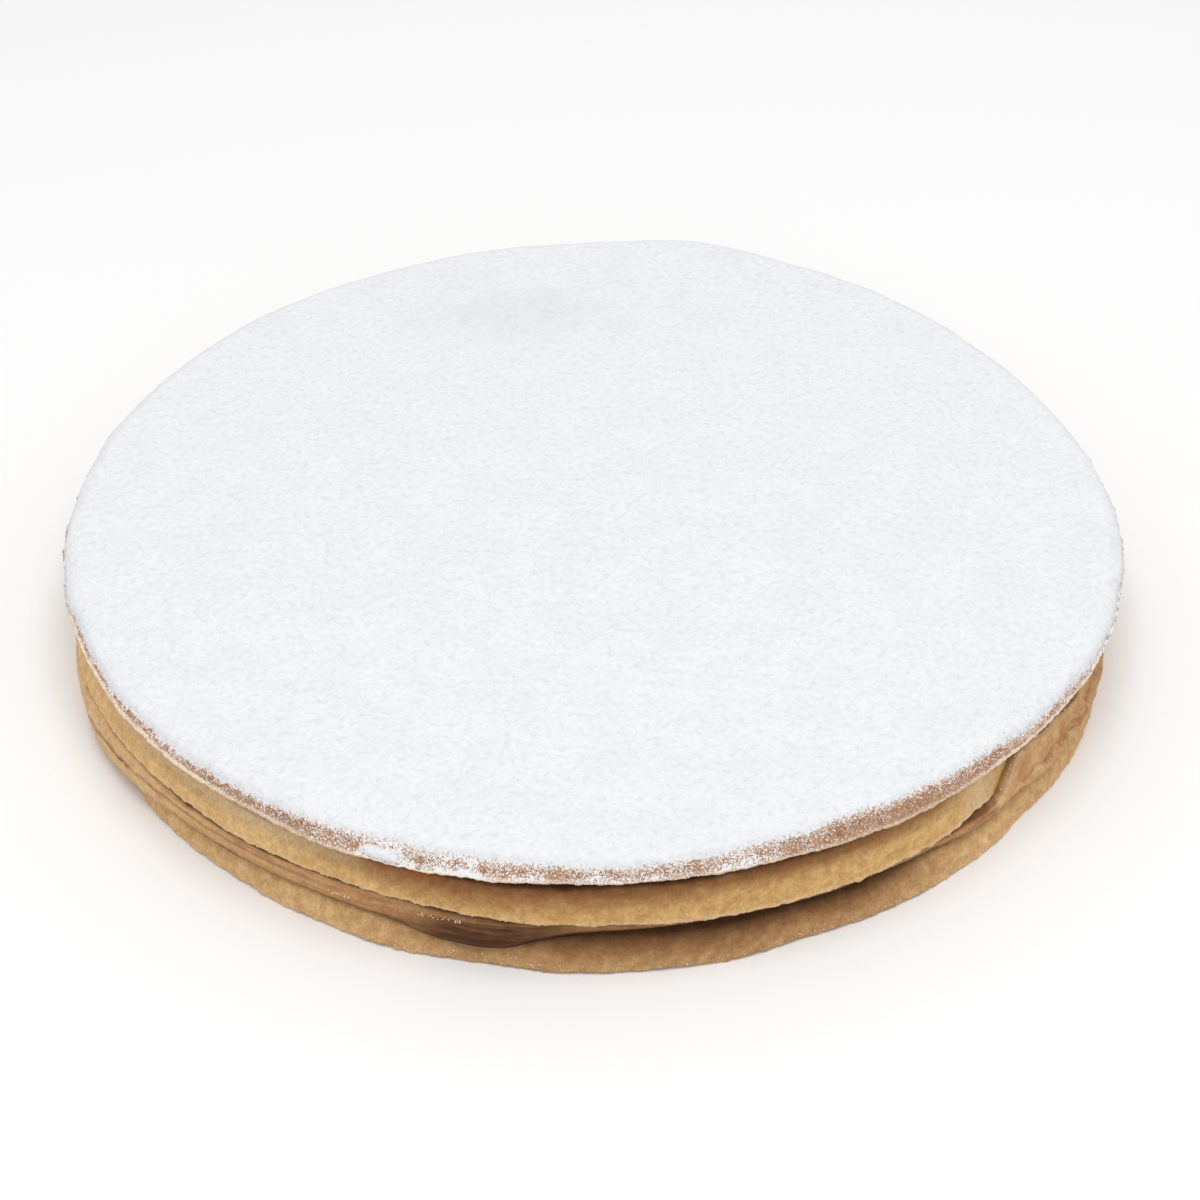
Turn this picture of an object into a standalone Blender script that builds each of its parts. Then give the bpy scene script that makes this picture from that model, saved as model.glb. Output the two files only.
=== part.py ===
# Alfajor cake: three round biscuits with dulce de leche between them and icing sugar on top.
# Metres, +Z up, origin at the centre of the base, the side with the sagging filling towards -Y.
# Every layer is a turned solid whose section changes a little with the direction from the axis.

import math

import bpy

STEPS = 120            # sections round the cake
GAP = 0.0003           # air between two layers that touch
CAKE_RADIUS = 0.128

# Heights of the layers above the base
BOTTOM_FACE = 0.0083   # top of the bottom biscuit
MIDDLE_FOOT = 0.0134   # underside of the middle biscuit, on the axis
MIDDLE_TILT = 0.0020   # how far that underside drops from the axis to the rim at +X
MIDDLE_FACE = 0.0236   # top of the middle biscuit
TOP_FOOT = 0.0264      # underside of the top biscuit
TOP_FACE = 0.0304      # top of the top biscuit
SUGAR_DEPTH = 0.0006

# Distance from the axis where every layer is flat and its rim has not begun
FLAT_RADIUS = CAKE_RADIUS - 0.010

# Rims of the biscuits, from the flat face outwards: (inset from the outline, drop below the face)
TOP_RIM = (
    (0.0043, 0.0001),
    (0.0029, 0.0007),
    (0.0015, 0.0018),
    (0.0005, 0.0028),
    (0.0, 0.0034),
)
TOP_WAVE = 0.0005      # how far the lip runs up and down
TOP_UNDERCUT = 0.0016  # where the lip's rounded underside ends
MIDDLE_RIM = (
    (0.0038, 0.0002),
    (0.0025, 0.0010),
    (0.0015, 0.0030),
)
MIDDLE_WAIST = 0.0008  # inset half way down
MIDDLE_SKIRT = (       # (inset, height above the foot), down to the thin edge
    (0.0003, 0.0019),
    (0.0, 0.0008),
    (0.0004, 0.0002),
)
MIDDLE_UNDERCUT = 0.0016
BOTTOM_RIM = (         # the third value is the share of the sag's depth that the point sinks
    (0.0046, 0.0002, 0.10),
    (0.0030, 0.0007, 0.50),
    (0.0017, 0.0018, 0.80),
    (0.0009, 0.0031, 0.72),
    (0.0003, 0.0050, 0.42),
    (0.0, 0.0074, 0.0),
)
BOTTOM_FOOT = ((0.0004, 0.0004), (0.0014, 0.0))  # (inset, height above the base)

# Bulges and hollows of the outlines: (direction, spread, push), in degrees and metres
TOP_BULGES = (
    (75, 9, 0.0036),
    (28, 20, -0.0016),
    (112, 14, -0.0012),
    (-20, 25, 0.0029),
    (-96, 24, 0.0008),
    (-60, 13, 0.0007),
    (-118, 6, 0.0006),
    (180, 16, 0.0010),
)
MIDDLE_BULGES = (
    (75, 12, 0.0020),
    (28, 20, -0.0010),
    (-92, 14, 0.0004),
    (-160, 18, 0.0004),
    (-28, 20, -0.0006),
)
MIDDLE_ARCH = (
    (-113, 17, 0.0014),  # its lower edge arches up over the sag
    (-76, 18, -0.0009),
)
BOTTOM_BULGES = (
    (75, 14, 0.0015),
    (-90, 16, 0.0014),
    (-104, 4, -0.0005),
    (-66, 8, -0.0005),
    (-14, 12, -0.0008),
)
BOTTOM_SHIFT = 0.0012  # the bottom biscuit sits this far towards +X

# The lower filling: how far its face stands back from the rim, and where it comes out
LOWER_RECESS = 0.0030
LOWER_BANDS = (
    (-150, 34, 0.0029),  # flush all along the left
    (-156, 9, 0.0020),
    (-101, 9, 0.0022),   # over the sag
    (-28, 22, 0.0046),   # where it is smeared out at the right
    (120, 30, 0.0016),
)
LOWER_HANG = (
    (-156, 11, 0.0042),  # how far it hangs down past the bottom biscuit's face
)
LOWER_LIFT = 0.0008      # its face starts this far above the bottom biscuit's face
LOWER_BELLY = 0.55       # the widest point, as a share of the way down the face
LOWER_UNDERSIDE = (0.0010, 0.0018, 0.0026)  # insets of the points that rest on the bottom biscuit

UPPER_RECESS = 0.0030
UPPER_BANDS = (
    (-30, 16, 0.0009),
    (150, 25, 0.0012),
)
UPPER_CROWN = (0.0008, 0.0001)              # (inset, drop) of its upper edge
UPPER_UNDERSIDE = (0.0004, 0.0010, 0.0018)

# The sag: the bottom biscuit's edge is broken down here and the filling has run into it
SAG_DIRECTION = -100.5
SAG_LEFT = 7.0         # spreads to either side, in degrees
SAG_RIGHT = 4.6
SAG_DEPTH = 0.0052
SAG_CLEARANCE = 0.0006  # more air there, where the surfaces are steep

# The smear: filling pressed up over the middle biscuit's side
SMEAR_FROM = -43.5
SMEAR_TO = -4.0
SMEAR_EDGE = 2.2       # degrees over which it rises and ends
SMEAR_HEIGHT = 0.0088
SMEAR_THICKNESS = 0.0010
SMEAR_ROOM = 0.0016    # the middle biscuit stands back this far behind it
SMEAR_MARGIN = 7.0     # and this many degrees beyond its ends
SMEAR_PROUD = 0.0006   # the face below the smear stands this far outside it

# Upper edge of the lower filling: (inset and drop without the smear, share of its height and
# stand-off from the biscuit's side within it)
LOWER_EDGE = (
    (0.0016, 0.00002, 0.00, GAP),
    (0.0013, 0.00006, 0.50, GAP + 0.0005),
    (0.0010, 0.00014, 1.00, GAP + 0.0003),
    (0.0007, 0.00028, 0.96, GAP + SMEAR_THICKNESS),
    (0.0004, 0.00050, 0.50, GAP + SMEAR_THICKNESS + 0.0003),
    (0.0001, 0.00090, 0.08, GAP + SMEAR_THICKNESS + 0.0005),
)

# The sugar: width of browned shoulder that it leaves bare, then its thinning edge as
# (inset from that edge, share of its depth) above and the inset of its inner points below
BARE_LEAST = 0.0006
BARE_BANDS = (
    (-104, 13, 0.0024),
    (-84, 9, 0.0008),
    (-62, 16, 0.0023),
    (-35, 12, 0.0006),
)
SUGAR_EDGE = ((0.0026, 1.0), (0.0008, 0.8), (0.0, 0.4), (0.0002, 0.0))
SUGAR_UNDERSIDE = (0.0012, 0.0022)


def apart(angle, degrees):
    """Signed angle in degrees from a direction to this angle in radians."""
    return (math.degrees(angle) - degrees + 180.0) % 360.0 - 180.0


def swell(angle, degrees, spread):
    return math.exp(-((apart(angle, degrees) / spread) ** 2))


def pushed(angle, bulges):
    return sum(push * swell(angle, degrees, spread) for degrees, spread, push in bulges)


def ramp(value, width):
    """0 below -width, 1 above width, smooth between."""
    t = min(1.0, max(0.0, (value / width + 1.0) / 2.0))
    return t * t * (3.0 - 2.0 * t)


def ripple(angle, phase, height):
    """Fine unevenness of a baked edge, at most about the given height."""
    waves = ((7, 0.9, 0.34), (13, 2.3, 0.26), (23, 4.1, 0.22), (37, 1.7, 0.18))
    return height * sum(part * math.sin(n * angle + start * phase) for n, start, part in waves)


def top_radius(angle):
    return CAKE_RADIUS + pushed(angle, TOP_BULGES) + ripple(angle, 1.0, 0.0005)


def within_smear(angle, margin, width):
    """1 between the smear's ends and this margin beyond them, falling to 0 over the width."""
    middle = (SMEAR_FROM + SMEAR_TO) / 2.0
    half = (SMEAR_TO - SMEAR_FROM) / 2.0 + margin
    return ramp(half - abs(apart(angle, middle)), width)


def smear(angle):
    return within_smear(angle, 0.0, SMEAR_EDGE)


def smear_room(angle):
    """1 where the middle biscuit stands back, begun before the smear and ended after it."""
    return within_smear(angle, SMEAR_MARGIN, 4.0)


def middle_radius(angle):
    outline = CAKE_RADIUS - 0.0004 + pushed(angle, MIDDLE_BULGES) + ripple(angle, 2.2, 0.0006)
    return outline - SMEAR_ROOM * smear_room(angle)


def bottom_radius(angle):
    outline = CAKE_RADIUS - 0.0003 + pushed(angle, BOTTOM_BULGES) + ripple(angle, 3.4, 0.0009)
    return outline + BOTTOM_SHIFT * math.cos(angle)


def sag(angle):
    away = apart(angle, SAG_DIRECTION)
    spread = SAG_LEFT if away < 0 else SAG_RIGHT
    return SAG_DEPTH * math.exp(-((away / spread) ** 2))


def middle_foot(angle, radius):
    at_rim = pushed(angle, MIDDLE_ARCH) - MIDDLE_TILT * math.cos(angle)
    return MIDDLE_FOOT + at_rim * radius / CAKE_RADIUS


def along(rim, value, by_height=False):
    """Height of a rim at a radius, or with by_height its radius at a height, read between its points."""
    points = [(z, r) for r, z in rim] if by_height else list(rim)
    points.sort()
    if value <= points[0][0]:
        return points[0][1]
    for (a, at_a), (b, at_b) in zip(points, points[1:]):
        if value <= b:
            return at_a + (at_b - at_a) * (value - a) / (b - a)
    return points[-1][1]


def bottom_shoulder(angle):
    """Upper half of the bottom biscuit's rim, from its flat face out to its widest point."""
    rim = bottom_radius(angle)
    deep = sag(angle)
    points = [(rim - inset, BOTTOM_FACE - drop - share * deep) for inset, drop, share in BOTTOM_RIM]
    return [(FLAT_RADIUS, BOTTOM_FACE)] + points


def bottom_biscuit(angle):
    rim = bottom_radius(angle)
    foot = [(rim - inset, height) for inset, height in BOTTOM_FOOT]
    return [(0.0, BOTTOM_FACE)] + bottom_shoulder(angle) + foot + [(0.0, 0.0)]


def middle_side(angle):
    """The middle biscuit's rim, from its flat face down past the thin edge at its foot."""
    rim = middle_radius(angle)
    foot = middle_foot(angle, rim)
    waist = rim - MIDDLE_WAIST + ripple(angle, 6.0, 0.0005)
    upper = [(rim - inset, MIDDLE_FACE - drop) for inset, drop in MIDDLE_RIM]
    skirt = [(rim - inset, foot + height) for inset, height in MIDDLE_SKIRT]
    return [(FLAT_RADIUS, MIDDLE_FACE)] + upper + [(waist, (foot + MIDDLE_FACE) / 2.0)] + skirt


def middle_biscuit(angle):
    inner = middle_radius(angle) - MIDDLE_UNDERCUT
    foot = [(inner, middle_foot(angle, inner)), (0.0, MIDDLE_FOOT)]
    return [(0.0, MIDDLE_FACE)] + middle_side(angle) + foot


def lower_face_radius(angle):
    face = CAKE_RADIUS - LOWER_RECESS + pushed(angle, LOWER_BANDS) + ripple(angle, 4.0, 0.0005)
    behind_smear = middle_radius(angle) + GAP + SMEAR_THICKNESS + SMEAR_PROUD
    return face + (max(face, behind_smear) - face) * smear_room(angle)


def lower_corner(angle, face):
    """Upper outer edge of the lower filling, which rises over the biscuit's side in the smear."""
    foot = middle_foot(angle, face) - GAP
    side = middle_side(angle)[:-1]
    up = smear(angle)
    height = SMEAR_HEIGHT + ripple(angle, 8.0, 0.0008)
    corner = []
    for inset, drop, rise, stand_off in LOWER_EDGE:
        z = foot - drop + up * rise * height
        plain = face - inset
        pressed = along(side, z, by_height=True) + stand_off
        radius = plain + (pressed - plain) * up
        if up > 0.0 and z > foot:
            radius = max(radius, pressed)
        corner.append((radius, z))
    return corner


def lower_filling(angle):
    face = lower_face_radius(angle)
    shoulder = bottom_shoulder(angle)
    hang = BOTTOM_FACE + LOWER_LIFT - sag(angle) - pushed(angle, LOWER_HANG)
    clear = 1.3 * GAP + SAG_CLEARANCE * min(1.0, 4.0 * sag(angle) / SAG_DEPTH)

    def bed(radius):
        return (radius, max(along(shoulder, radius) + clear, hang))

    corner = lower_corner(angle, face)
    high = corner[-1][1]
    toe, low = bed(face - GAP)
    inner = [
        bed(min(face - inset, shoulder[i][0]))
        for inset, i in zip(LOWER_UNDERSIDE, (3, 2, 1))
    ]
    return (
        [(0.0, MIDDLE_FOOT - GAP)]
        + corner
        + [(face, high + (low - high) * LOWER_BELLY), (toe, low + GAP)]
        + inner
        + [(FLAT_RADIUS, BOTTOM_FACE + GAP), (0.0, BOTTOM_FACE + GAP)]
    )


def upper_filling(angle):
    side = middle_side(angle)
    face = CAKE_RADIUS - UPPER_RECESS + pushed(angle, UPPER_BANDS) + ripple(angle, 5.5, 0.0004)
    face = min(face, side[3][0])
    lid = TOP_FOOT - GAP
    crown_inset, crown_drop = UPPER_CROWN

    def bed(radius):
        return (radius, along(side, radius) + 2.0 * GAP)

    first, second, third = UPPER_UNDERSIDE
    return [
        (0.0, lid),
        (face - crown_inset, lid - crown_drop),
        (face, (lid + bed(face)[1]) / 2.0),
        bed(face - first),
        bed(min(face - second, side[2][0])),
        bed(min(face - third, side[1][0])),
        (FLAT_RADIUS, MIDDLE_FACE + GAP),
        (0.0, MIDDLE_FACE + GAP),
    ]


def top_shoulder(angle):
    """The top biscuit's sloping shoulder, from its flat face down to the lip."""
    rim = top_radius(angle)
    wave = ripple(angle, 7.0, TOP_WAVE)
    points = [(rim - inset, TOP_FACE - drop) for inset, drop in TOP_RIM]
    waved = [(radius, z + wave) for radius, z in points[-2:]]
    return [(FLAT_RADIUS, TOP_FACE)] + points[:-2] + waved


def top_biscuit(angle):
    shoulder = top_shoulder(angle)
    rim, lip = shoulder[-1]
    underside = [(rim - GAP, lip - 0.0004), (rim - TOP_UNDERCUT, TOP_FOOT), (0.0, TOP_FOOT)]
    return [(0.0, TOP_FACE)] + shoulder + underside


def icing_sugar(angle):
    bare = BARE_LEAST + pushed(angle, BARE_BANDS)
    edge = top_radius(angle) - bare + ripple(angle, 9.0, 0.0005)
    shoulder = top_shoulder(angle)

    def above(radius, depth):
        return (radius, along(shoulder, radius) + 2.0 * GAP + depth)

    outer = [above(edge - inset, share * SUGAR_DEPTH) for inset, share in SUGAR_EDGE]
    first, second = SUGAR_UNDERSIDE
    return (
        [(0.0, TOP_FACE + GAP + SUGAR_DEPTH), (FLAT_RADIUS, TOP_FACE + GAP + SUGAR_DEPTH)]
        + outer
        + [
            above(min(edge - first, shoulder[2][0]), 0.0),
            above(min(edge - second, shoulder[1][0]), 0.0),
            (FLAT_RADIUS, TOP_FACE + GAP),
            (0.0, TOP_FACE + GAP),
        ]
    )


def finish(layer, colour, roughness):
    material = bpy.data.materials.new(layer + "_finish")
    material.use_nodes = True
    shader = material.node_tree.nodes["Principled BSDF"]
    shader.inputs["Base Color"].default_value = (*colour, 1.0)
    shader.inputs["Roughness"].default_value = roughness
    shader.inputs["Metallic"].default_value = 0.0
    return material


def turned(name, section, material, collection):
    """A layer: its section at angle 0 swept round Z by a Screw, then fitted to each direction's section."""
    start = section(0.0)
    mesh = bpy.data.meshes.new(name)
    edges = [(i, i + 1) for i in range(len(start) - 1)]
    mesh.from_pydata([(radius, 0.0, z) for radius, z in start], edges, [])
    blank = bpy.data.objects.new(name + "_blank", mesh)
    collection.objects.link(blank)
    screw = blank.modifiers.new("Turn", "SCREW")
    screw.axis = "Z"
    screw.angle = math.tau
    screw.steps = STEPS
    screw.render_steps = STEPS
    screw.use_merge_vertices = True
    screw.merge_threshold = 0.00001
    bpy.context.view_layer.update()
    swept = bpy.data.meshes.new_from_object(blank.evaluated_get(bpy.context.evaluated_depsgraph_get()))
    bpy.data.objects.remove(blank)
    fit_sections(swept, start, section)
    swept.name = name
    swept.shade_smooth()
    swept.set_sharp_from_angle(angle=math.radians(50))
    swept.materials.append(material)
    layer = bpy.data.objects.new(name, swept)
    collection.objects.link(layer)
    return layer


def fit_sections(mesh, start, section):
    """Move each vertex from the section at angle 0 to the same point of its own direction's section."""
    sections = {}
    for vertex in mesh.vertices:
        radius = math.hypot(vertex.co.x, vertex.co.y)
        index = min(
            range(len(start)),
            key=lambda i: (start[i][0] - radius) ** 2 + (start[i][1] - vertex.co.z) ** 2,
        )
        if index in (0, len(start) - 1):
            continue
        step = round(math.atan2(vertex.co.y, vertex.co.x) * STEPS / math.tau) % STEPS
        direction = step * math.tau / STEPS
        if step not in sections:
            sections[step] = section(direction)
        radius, z = sections[step][index]
        vertex.co = (radius * math.cos(direction), radius * math.sin(direction), z)


def centre(layers):
    """Bring the middle of the whole cake's box onto the axis."""
    points = [vertex.co for layer in layers for vertex in layer.data.vertices]
    shift_x = -(min(p.x for p in points) + max(p.x for p in points)) / 2.0
    shift_y = -(min(p.y for p in points) + max(p.y for p in points)) / 2.0
    for layer in layers:
        for vertex in layer.data.vertices:
            vertex.co.x += shift_x
            vertex.co.y += shift_y


def main():
    for obj in list(bpy.data.objects):
        bpy.data.objects.remove(obj)
    collection = bpy.data.collections.new("alfajor_cake")
    bpy.context.scene.collection.children.link(collection)
    recipe = (
        # name, section, colour, roughness
        ("bottom_biscuit", bottom_biscuit, (0.50, 0.31, 0.13), 0.85),
        ("lower_filling", lower_filling, (0.33, 0.15, 0.065), 0.35),
        ("middle_biscuit", middle_biscuit, (0.58, 0.36, 0.14), 0.85),
        ("upper_filling", upper_filling, (0.30, 0.13, 0.055), 0.35),
        ("top_biscuit", top_biscuit, (0.55, 0.34, 0.17), 0.85),
        ("icing_sugar", icing_sugar, (0.90, 0.91, 0.93), 0.95),
    )
    layers = [
        turned(name, section, finish(name, colour, roughness), collection)
        for name, section, colour, roughness in recipe
    ]
    centre(layers)


main()
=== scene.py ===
import math

import bpy
import numpy as np
from mathutils import Matrix, Vector
from mathutils.bvhtree import BVHTree


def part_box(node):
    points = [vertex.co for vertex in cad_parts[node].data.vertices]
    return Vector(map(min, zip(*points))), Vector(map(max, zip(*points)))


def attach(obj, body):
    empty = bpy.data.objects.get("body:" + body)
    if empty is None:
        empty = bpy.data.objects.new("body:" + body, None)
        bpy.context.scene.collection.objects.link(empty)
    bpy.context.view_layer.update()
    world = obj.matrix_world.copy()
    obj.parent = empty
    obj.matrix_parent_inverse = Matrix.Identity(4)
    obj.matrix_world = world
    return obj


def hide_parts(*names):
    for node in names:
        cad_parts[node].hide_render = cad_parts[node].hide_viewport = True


# Alfajor cake: three baked biscuits, two layers of dulce de leche, icing sugar on top.
# Metres, directions in degrees from +X, so that the front of the cake is at -90.

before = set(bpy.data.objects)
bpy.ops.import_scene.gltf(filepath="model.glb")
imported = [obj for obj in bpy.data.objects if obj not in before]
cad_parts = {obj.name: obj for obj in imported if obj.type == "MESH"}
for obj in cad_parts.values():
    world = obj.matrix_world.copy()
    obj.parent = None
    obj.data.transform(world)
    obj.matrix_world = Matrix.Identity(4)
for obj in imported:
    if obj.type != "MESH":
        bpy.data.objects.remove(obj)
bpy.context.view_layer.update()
mm = 0.001

sweep = {
    "columns": 1600,      # sections round the cake in every layer
    "readings": 720,      # directions in which the solids are measured
    "evenOut": 0.7,       # degrees over which their flats are smoothed
    "castFrom": 0.2,      # how far from the axis, above and below the solids are read from
    "castOver": 0.1,
}
degrees = np.arange(sweep["columns"]) * 360.0 / sweep["columns"]
turns = np.radians(degrees)
outwards = np.stack([np.cos(turns), np.sin(turns), np.zeros_like(turns)], axis=1)
readTurns = np.arange(sweep["readings"]) * math.tau / sweep["readings"]


# Directions round the cake

def apart(centre):  # signed degrees from a direction to every column
    return ((degrees - centre + 180.0) % 360.0 - 180.0)[:, None]


def swell(centre, spread):
    return np.exp(-(apart(centre) / spread) ** 2)


def ramp(values, start, end):  # 0 before start, 1 after end, smooth between
    share = np.clip((values - start) / (end - start), 0.0, 1.0)
    return share * share * (3.0 - 2.0 * share)


def between(start, end, edge):  # 1 from one direction to the other, fading over edge degrees
    middle, half = (start + end) / 2.0, (end - start) / 2.0
    return ramp(half - np.abs(apart(middle)), -edge, edge)


def stretches(rows):  # the sum of several: amount, from, to and the degrees over which it fades
    return sum(amount * between(start, end, edge) for amount, start, end, edge in rows)


def spots(rows):  # the sum of several swells: amount, direction and spread
    return sum(amount * swell(centre, spread) for amount, centre, spread in rows)


# Noise in space

def chance(cells, seed):  # a fixed number from 0 to 1 for each cell
    mixed = (cells[..., 0] * 374761393 + cells[..., 1] * 668265263
             + cells[..., 2] * 1274126177 + seed * 83492791)
    mixed = (mixed ^ (mixed >> 13)) * 1103515245
    return ((mixed ^ (mixed >> 16)) & 0xFFFFFF) / float(0xFFFFFF)


def lumps(points, size, seed):  # smooth noise from -1 to 1, in lumps about size across
    scaled = points / size + 1000.0     # clear of negative cells
    cell = np.floor(scaled)
    part = scaled - cell
    part = part * part * (3.0 - 2.0 * part)
    cell = cell.astype(np.int64)
    total = np.zeros(points.shape[:-1])
    for corner in range(8):
        offset = np.array([corner & 1, corner >> 1 & 1, corner >> 2 & 1])
        weight = np.prod(np.where(offset == 1, part, 1.0 - part), axis=-1)
        total += weight * chance(cell + offset, seed)
    return total * 2.0 - 1.0


def crumbly(points, size, seed):  # three sizes of lump together
    return (lumps(points, size, seed) + 0.6 * lumps(points, size * 0.55, seed + 1)
            + 0.4 * lumps(points, size * 0.3, seed + 2)) / 1.5


# Reading the solids

def treeOf(node):
    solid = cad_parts[node].data
    return BVHTree.FromPolygons([v.co for v in solid.vertices], [p.vertices for p in solid.polygons])


def filledIn(values):  # a reading that missed takes its neighbours' value
    missed = np.isnan(values)
    if missed.any():
        known = np.flatnonzero(~missed)
        values[missed] = np.interp(np.flatnonzero(missed), known, values[known], period=len(values))
    return values


def castIn(tree, heights):
    found = []
    for turn, height in zip(readTurns, np.broadcast_to(heights, readTurns.shape)):
        way = Vector((math.cos(turn), math.sin(turn), 0.0))
        start = way * sweep["castFrom"] + Vector((0.0, 0.0, height))
        hit = tree.ray_cast(start, -way, sweep["castOver"])[0]
        found.append(math.hypot(hit.x, hit.y) if hit else math.nan)
    return np.array(found)


def radiusAt(tree, *heights):  # the outer radius in every reading direction, the widest of these heights
    found = castIn(tree, heights[0])
    for height in heights[1:]:
        found = np.fmax(found, castIn(tree, height))
    return filledIn(found)


def heightAt(tree, radii, above):  # the surface's height at a radius, met from above or below
    found = []
    for turn, radius in zip(readTurns, np.broadcast_to(radii, readTurns.shape)):
        side = 1.0 if above else -1.0
        start = Vector((math.cos(turn) * radius, math.sin(turn) * radius, side * sweep["castOver"]))
        hit = tree.ray_cast(start, Vector((0.0, 0.0, -side)))[0]
        found.append(hit.z if hit else math.nan)
    return filledIn(np.array(found))


def everyColumn(rows):  # readings smoothed, then spread over the columns, one row beside the other
    waves = np.fft.rfftfreq(sweep["readings"], 360.0 / sweep["readings"])
    fade = np.exp(-2.0 * (math.pi * waves * sweep["evenOut"]) ** 2)
    spreadOut = []
    for values in rows:
        rough = np.broadcast_to(values, readTurns.shape)
        smooth = np.fft.irfft(np.fft.rfft(rough) * fade, sweep["readings"])
        spreadOut.append(np.interp(turns, readTurns, smooth, period=math.tau))
    return np.stack(spreadOut, axis=1)


# Meshes

beneath = 2.0     # marks the rows on a layer's underside, where down runs from 0 to 1 on its side


def placed(radii, heights):  # points from arrays of radius and height, column by row
    points = outwards[:, None, :] * radii[..., None]
    points[..., 2] = heights
    return points


def facing(points):  # the outward normal at each point of a wrapped layer
    along = np.roll(points, -1, axis=0) - np.roll(points, 1, axis=0)
    normal = np.cross(np.gradient(points, axis=1), along)
    return normal / np.maximum(np.linalg.norm(normal, axis=-1, keepdims=True), 1e-12)


def pieceFrom(name, corners, faces, masks, material):
    mesh = bpy.data.meshes.new(name)
    mesh.from_pydata(corners.tolist(), [], faces)
    for mask, values in masks.items():
        flat = np.zeros(len(corners), np.float32)
        flat[:values.size] = np.clip(values, 0.0, 1.0).reshape(-1)
        mesh.attributes.new(mask, "FLOAT", "POINT").data.foreach_set("value", flat)
    mesh.shade_smooth()
    mesh.materials.append(material)
    piece = bpy.data.objects.new(name, mesh)
    bpy.context.scene.collection.objects.link(piece)
    return piece


def sideFaces(columns, rows):  # quads between neighbouring columns, and the index of each column's ends
    here = np.arange(columns)[:, None] * rows + np.arange(rows - 1)[None, :]
    there = np.roll(here, -1, axis=0)
    quads = np.stack([here, here + 1, there + 1, there], axis=-1).reshape(-1, 4).tolist()
    return quads, here[:, 0], here[:, 0] + rows - 1


def fan(ring, centre, upwards):  # triangles from a ring to the axis
    following = np.roll(ring, -1)
    pair = (ring, following) if upwards else (following, ring)
    return np.stack([*pair, np.full(len(ring), centre)], axis=-1).tolist()


def wrapped(name, points, masks, material):  # a closed layer, its rows from the axis on top to below
    columns, rows = points.shape[:2]
    masks = {mask: np.broadcast_to(values, (columns, rows)) for mask, values in masks.items()}
    poles = [[0.0, 0.0, points[:, end, 2].mean()] for end in (0, -1)]
    corners = np.concatenate([points.reshape(-1, 3), poles])
    quads, first, last = sideFaces(columns, rows)
    count = columns * rows
    return pieceFrom(name, corners, quads + fan(first, count, True) + fan(last, count + 1, False),
                     masks, material)


def onSurface(points, columns, rows):  # places between the corners of a layer, from fractional indices
    c, k = columns.astype(int), rows.astype(int)
    across, down = (columns - c)[:, None], (rows - k)[:, None]
    beside = (c + 1) % len(points)
    near = points[c, k] * (1.0 - down) + points[c, k + 1] * down
    far = points[beside, k] * (1.0 - down) + points[beside, k + 1] * down
    return near * (1.0 - across) + far * across


def looseBits(name, places, sizes, seed, material):  # small rough lumps joined into one mesh
    draws = np.random.default_rng(seed)
    count = len(places)
    turn = draws.normal(size=(count, 4))
    w, x, y, z = (turn / np.linalg.norm(turn, axis=1, keepdims=True)).T
    rotation = np.stack([1 - 2 * (y * y + z * z), 2 * (x * y - w * z), 2 * (x * z + w * y),
                         2 * (x * y + w * z), 1 - 2 * (x * x + z * z), 2 * (y * z - w * x),
                         2 * (x * z - w * y), 2 * (y * z + w * x), 1 - 2 * (x * x + y * y)],
                        axis=-1).reshape(-1, 3, 3)
    lump = np.array([(1, 0, 0), (0, 1, 0), (-1, 0, 0), (0, -1, 0), (0, 0, 1), (0, 0, -1)], float)
    corners = lump * draws.uniform(0.7, 1.25, (count, 6, 1)) * draws.uniform(0.6, 1.15, (count, 1, 3))
    corners = np.einsum("nij,nkj->nki", rotation, corners) * sizes[:, None, None] + places[:, None, :]
    sides = [(i, (i + 1) % 4, 4) for i in range(4)] + [((i + 1) % 4, i, 5) for i in range(4)]
    faces = (np.array(sides)[None] + np.arange(count)[:, None, None] * 6).reshape(-1, 3).tolist()
    return pieceFrom(name, corners.reshape(-1, 3), faces, {}, material)


def plainMaterial(name, colour):
    material, tree, shader, place = newMaterial(name)
    shader.inputs["Base Color"].default_value = colour
    shader.inputs["Roughness"].default_value = 0.9
    shader.inputs["Specular IOR Level"].default_value = 0.2
    return material


def settle(piece, node):  # the piece moves with the cake and stands for its solid
    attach(piece, "root")
    if node:
        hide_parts(node)
    print("made", piece.name, "with", len(piece.data.polygons), "faces")


# Shader nodes and groups

def join(tree, socket, value):
    if isinstance(value, bpy.types.NodeSocket):
        tree.links.new(value, socket)
    else:
        socket.default_value = value


def addNode(tree, kind, inputs=None, **settings):
    node = tree.nodes.new(kind)
    for key, value in settings.items():
        setattr(node, key, value)
    for key, value in (inputs or {}).items():
        join(tree, node.inputs[key], value)
    return node


def mixed(tree, factor, first, second):  # two colours
    return addNode(tree, "ShaderNodeMix", {0: factor, 6: first, 7: second}, data_type="RGBA").outputs[2]


def sums(tree, operation, first, second):
    return addNode(tree, "ShaderNodeMath", {0: first, 1: second}, operation=operation).outputs[0]


def ranged(tree, value, low, high):  # 0 at low, 1 at high, smooth between
    return addNode(tree, "ShaderNodeMapRange", {"Value": value, "From Min": low, "From Max": high},
                   interpolation_type="SMOOTHSTEP").outputs["Result"]


def noiseOf(tree, place, scale, detail, roughness):
    return addNode(tree, "ShaderNodeTexNoise", {"Vector": place, "Scale": scale, "Detail": detail,
                                                "Roughness": roughness}).outputs["Fac"]


def grained(tree, colour, grain, amount):  # brighter and darker by a share of itself
    level = sums(tree, "MULTIPLY", sums(tree, "SUBTRACT", grain, 0.5), amount)
    return addNode(tree, "ShaderNodeHueSaturation", {"Value": sums(tree, "ADD", level, 1.0),
                                                     "Color": colour}).outputs["Color"]


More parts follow.
